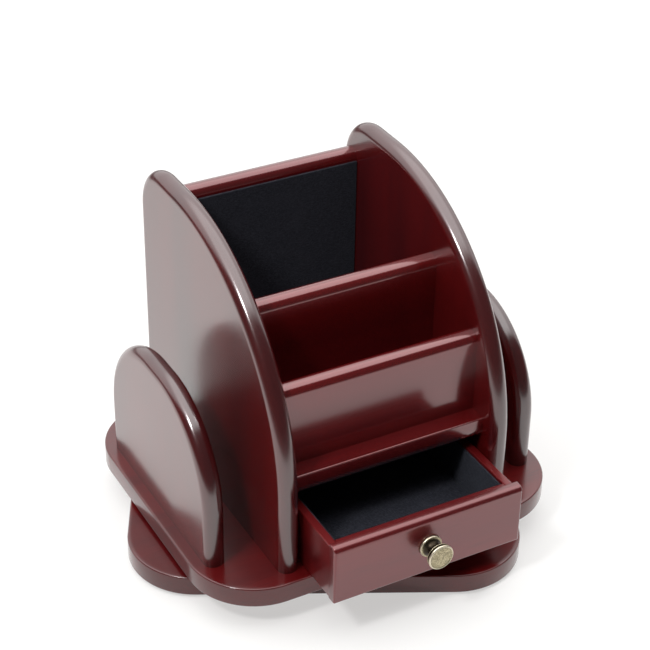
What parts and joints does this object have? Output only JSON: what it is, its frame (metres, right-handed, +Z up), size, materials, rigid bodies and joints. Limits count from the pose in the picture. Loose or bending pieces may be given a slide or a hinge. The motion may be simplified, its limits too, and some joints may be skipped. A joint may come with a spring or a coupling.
{
  "type": "revolving desk caddy",
  "caption": "Revolving wooden desk caddy with a pen bay, an upright card slot, a letter slot at each side and a small drawer with a round knob.",
  "frame": {"origin": "on the swivel axis, on the surface that the underside felt rests on", "axes": "+Z up along the swivel axis; -Y the way the drawer opens; +X to the right of someone facing the drawer. The rest pose has the drawer about 36 mm open and the base board turned 26.7 degrees clockwise under the deck, seen from above"},
  "size_m": [0.2062, 0.2041, 0.1611],
  "materials": {
    "lacquered_wood": "dark red-brown stain under a high-gloss lacquer",
    "black_felt": "short-pile felt",
    "plated_steel": "zinc plated",
    "beech_dowel": "fluted, unfinished",
    "antique_brass": "dark patina in the hollows, worn bright on the rims"
  },
  "bodies": {
    "base": {"base_board": "lacquered_wood", "underside_felt": "black_felt", "lower_bearing_plate": "plated_steel", "lower_bearing_screws": "plated_steel", "pivot_rivet": "plated_steel"},
    "ball_ring": {"ball_cage": "plated_steel", "bearing_balls": "plated_steel"},
    "carousel": {"deck_board": "lacquered_wood", "upper_bearing_plate": "plated_steel", "upper_bearing_screws": "plated_steel", "left_side_panel": "lacquered_wood", "right_side_panel": "lacquered_wood", "left_wing": "lacquered_wood", "right_wing": "lacquered_wood", "back_board": "lacquered_wood", "pen_divider": "lacquered_wood", "card_board": "lacquered_wood", "shelf_board": "lacquered_wood", "side_panel_screws": "plated_steel", "wing_screws": "plated_steel", "shelf_dowels": "beech_dowel", "card_board_dowels": "beech_dowel", "pen_divider_dowels": "beech_dowel", "back_board_dowels": "beech_dowel", "pen_bay_floor_lining": "black_felt", "pen_bay_back_lining": "black_felt"},
    "drawer": {"drawer_front": "lacquered_wood", "drawer_left_side": "lacquered_wood", "drawer_right_side": "lacquered_wood", "drawer_inner_front": "lacquered_wood", "drawer_back": "lacquered_wood", "drawer_bottom": "lacquered_wood", "drawer_floor_lining": "black_felt", "drawer_left_lining": "black_felt", "drawer_right_lining": "black_felt", "drawer_front_lining": "black_felt", "drawer_back_lining": "black_felt", "knob": "antique_brass", "knob_screw": "plated_steel"}
  },
  "joints": [
    {"name": "swivel", "type": "hinge", "parent": "base", "child": "carousel", "pos_m": [0, 0, 0.0121], "axis": [0, 0, 1], "continuous": true},
    {"name": "ball_ring_turn", "type": "hinge", "parent": "base", "child": "ball_ring", "pos_m": [0, 0, 0.0121], "axis": [0, 0, 1], "continuous": true},
    {"name": "drawer_slide", "type": "slide", "parent": "carousel", "child": "drawer", "axis": [0, -1, 0], "range_m": [-0.0355, 0.0445]}
  ],
  "couplings": [
    {"joint": "ball_ring_turn", "follows": "swivel", "ratio": 0.5}
  ]
}
